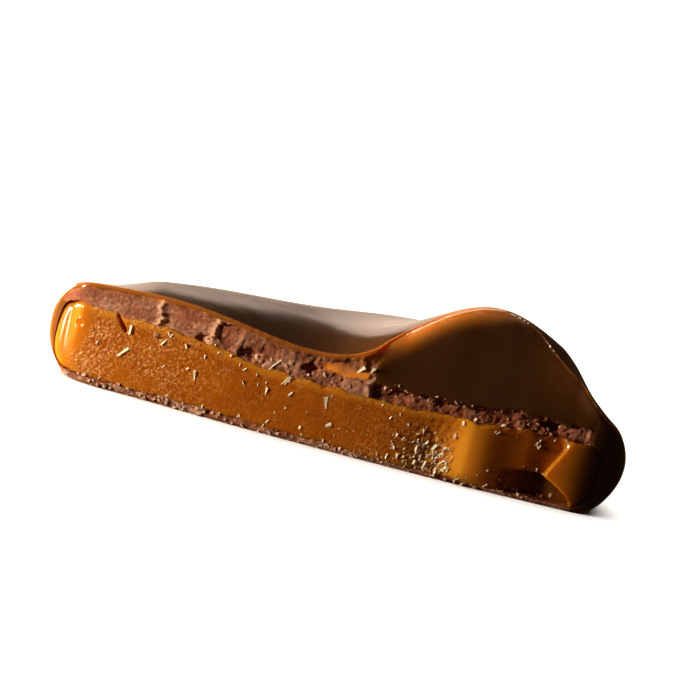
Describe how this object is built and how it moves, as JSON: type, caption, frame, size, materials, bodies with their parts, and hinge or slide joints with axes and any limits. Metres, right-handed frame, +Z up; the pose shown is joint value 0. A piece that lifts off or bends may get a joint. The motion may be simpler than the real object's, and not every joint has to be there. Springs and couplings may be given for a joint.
{
  "type": "milk chocolate toffee piece",
  "caption": "Shard of toffee in a milk chocolate coat, snapped along a long front break that shows the amber core, with a broken wave of chocolate on top; lies on its flat underside.",
  "frame": {"origin": "centre of the piece's bounding box, at the height of its flat underside", "axes": "+X along the long front break towards the end with the thick wave, +Y from the break towards the rounded back, +Z up"},
  "size_m": [0.0564, 0.0296, 0.0159],
  "materials": {
    "milk_chocolate": "milk chocolate: satin gloss on the coated skin, dull where it is broken",
    "toffee": "amber toffee: waxy, slightly translucent and finely grained on the broken face"
  },
  "bodies": {
    "root": {"chocolate_coat": "milk_chocolate", "toffee_core": "toffee"}
  },
  "joints": []
}
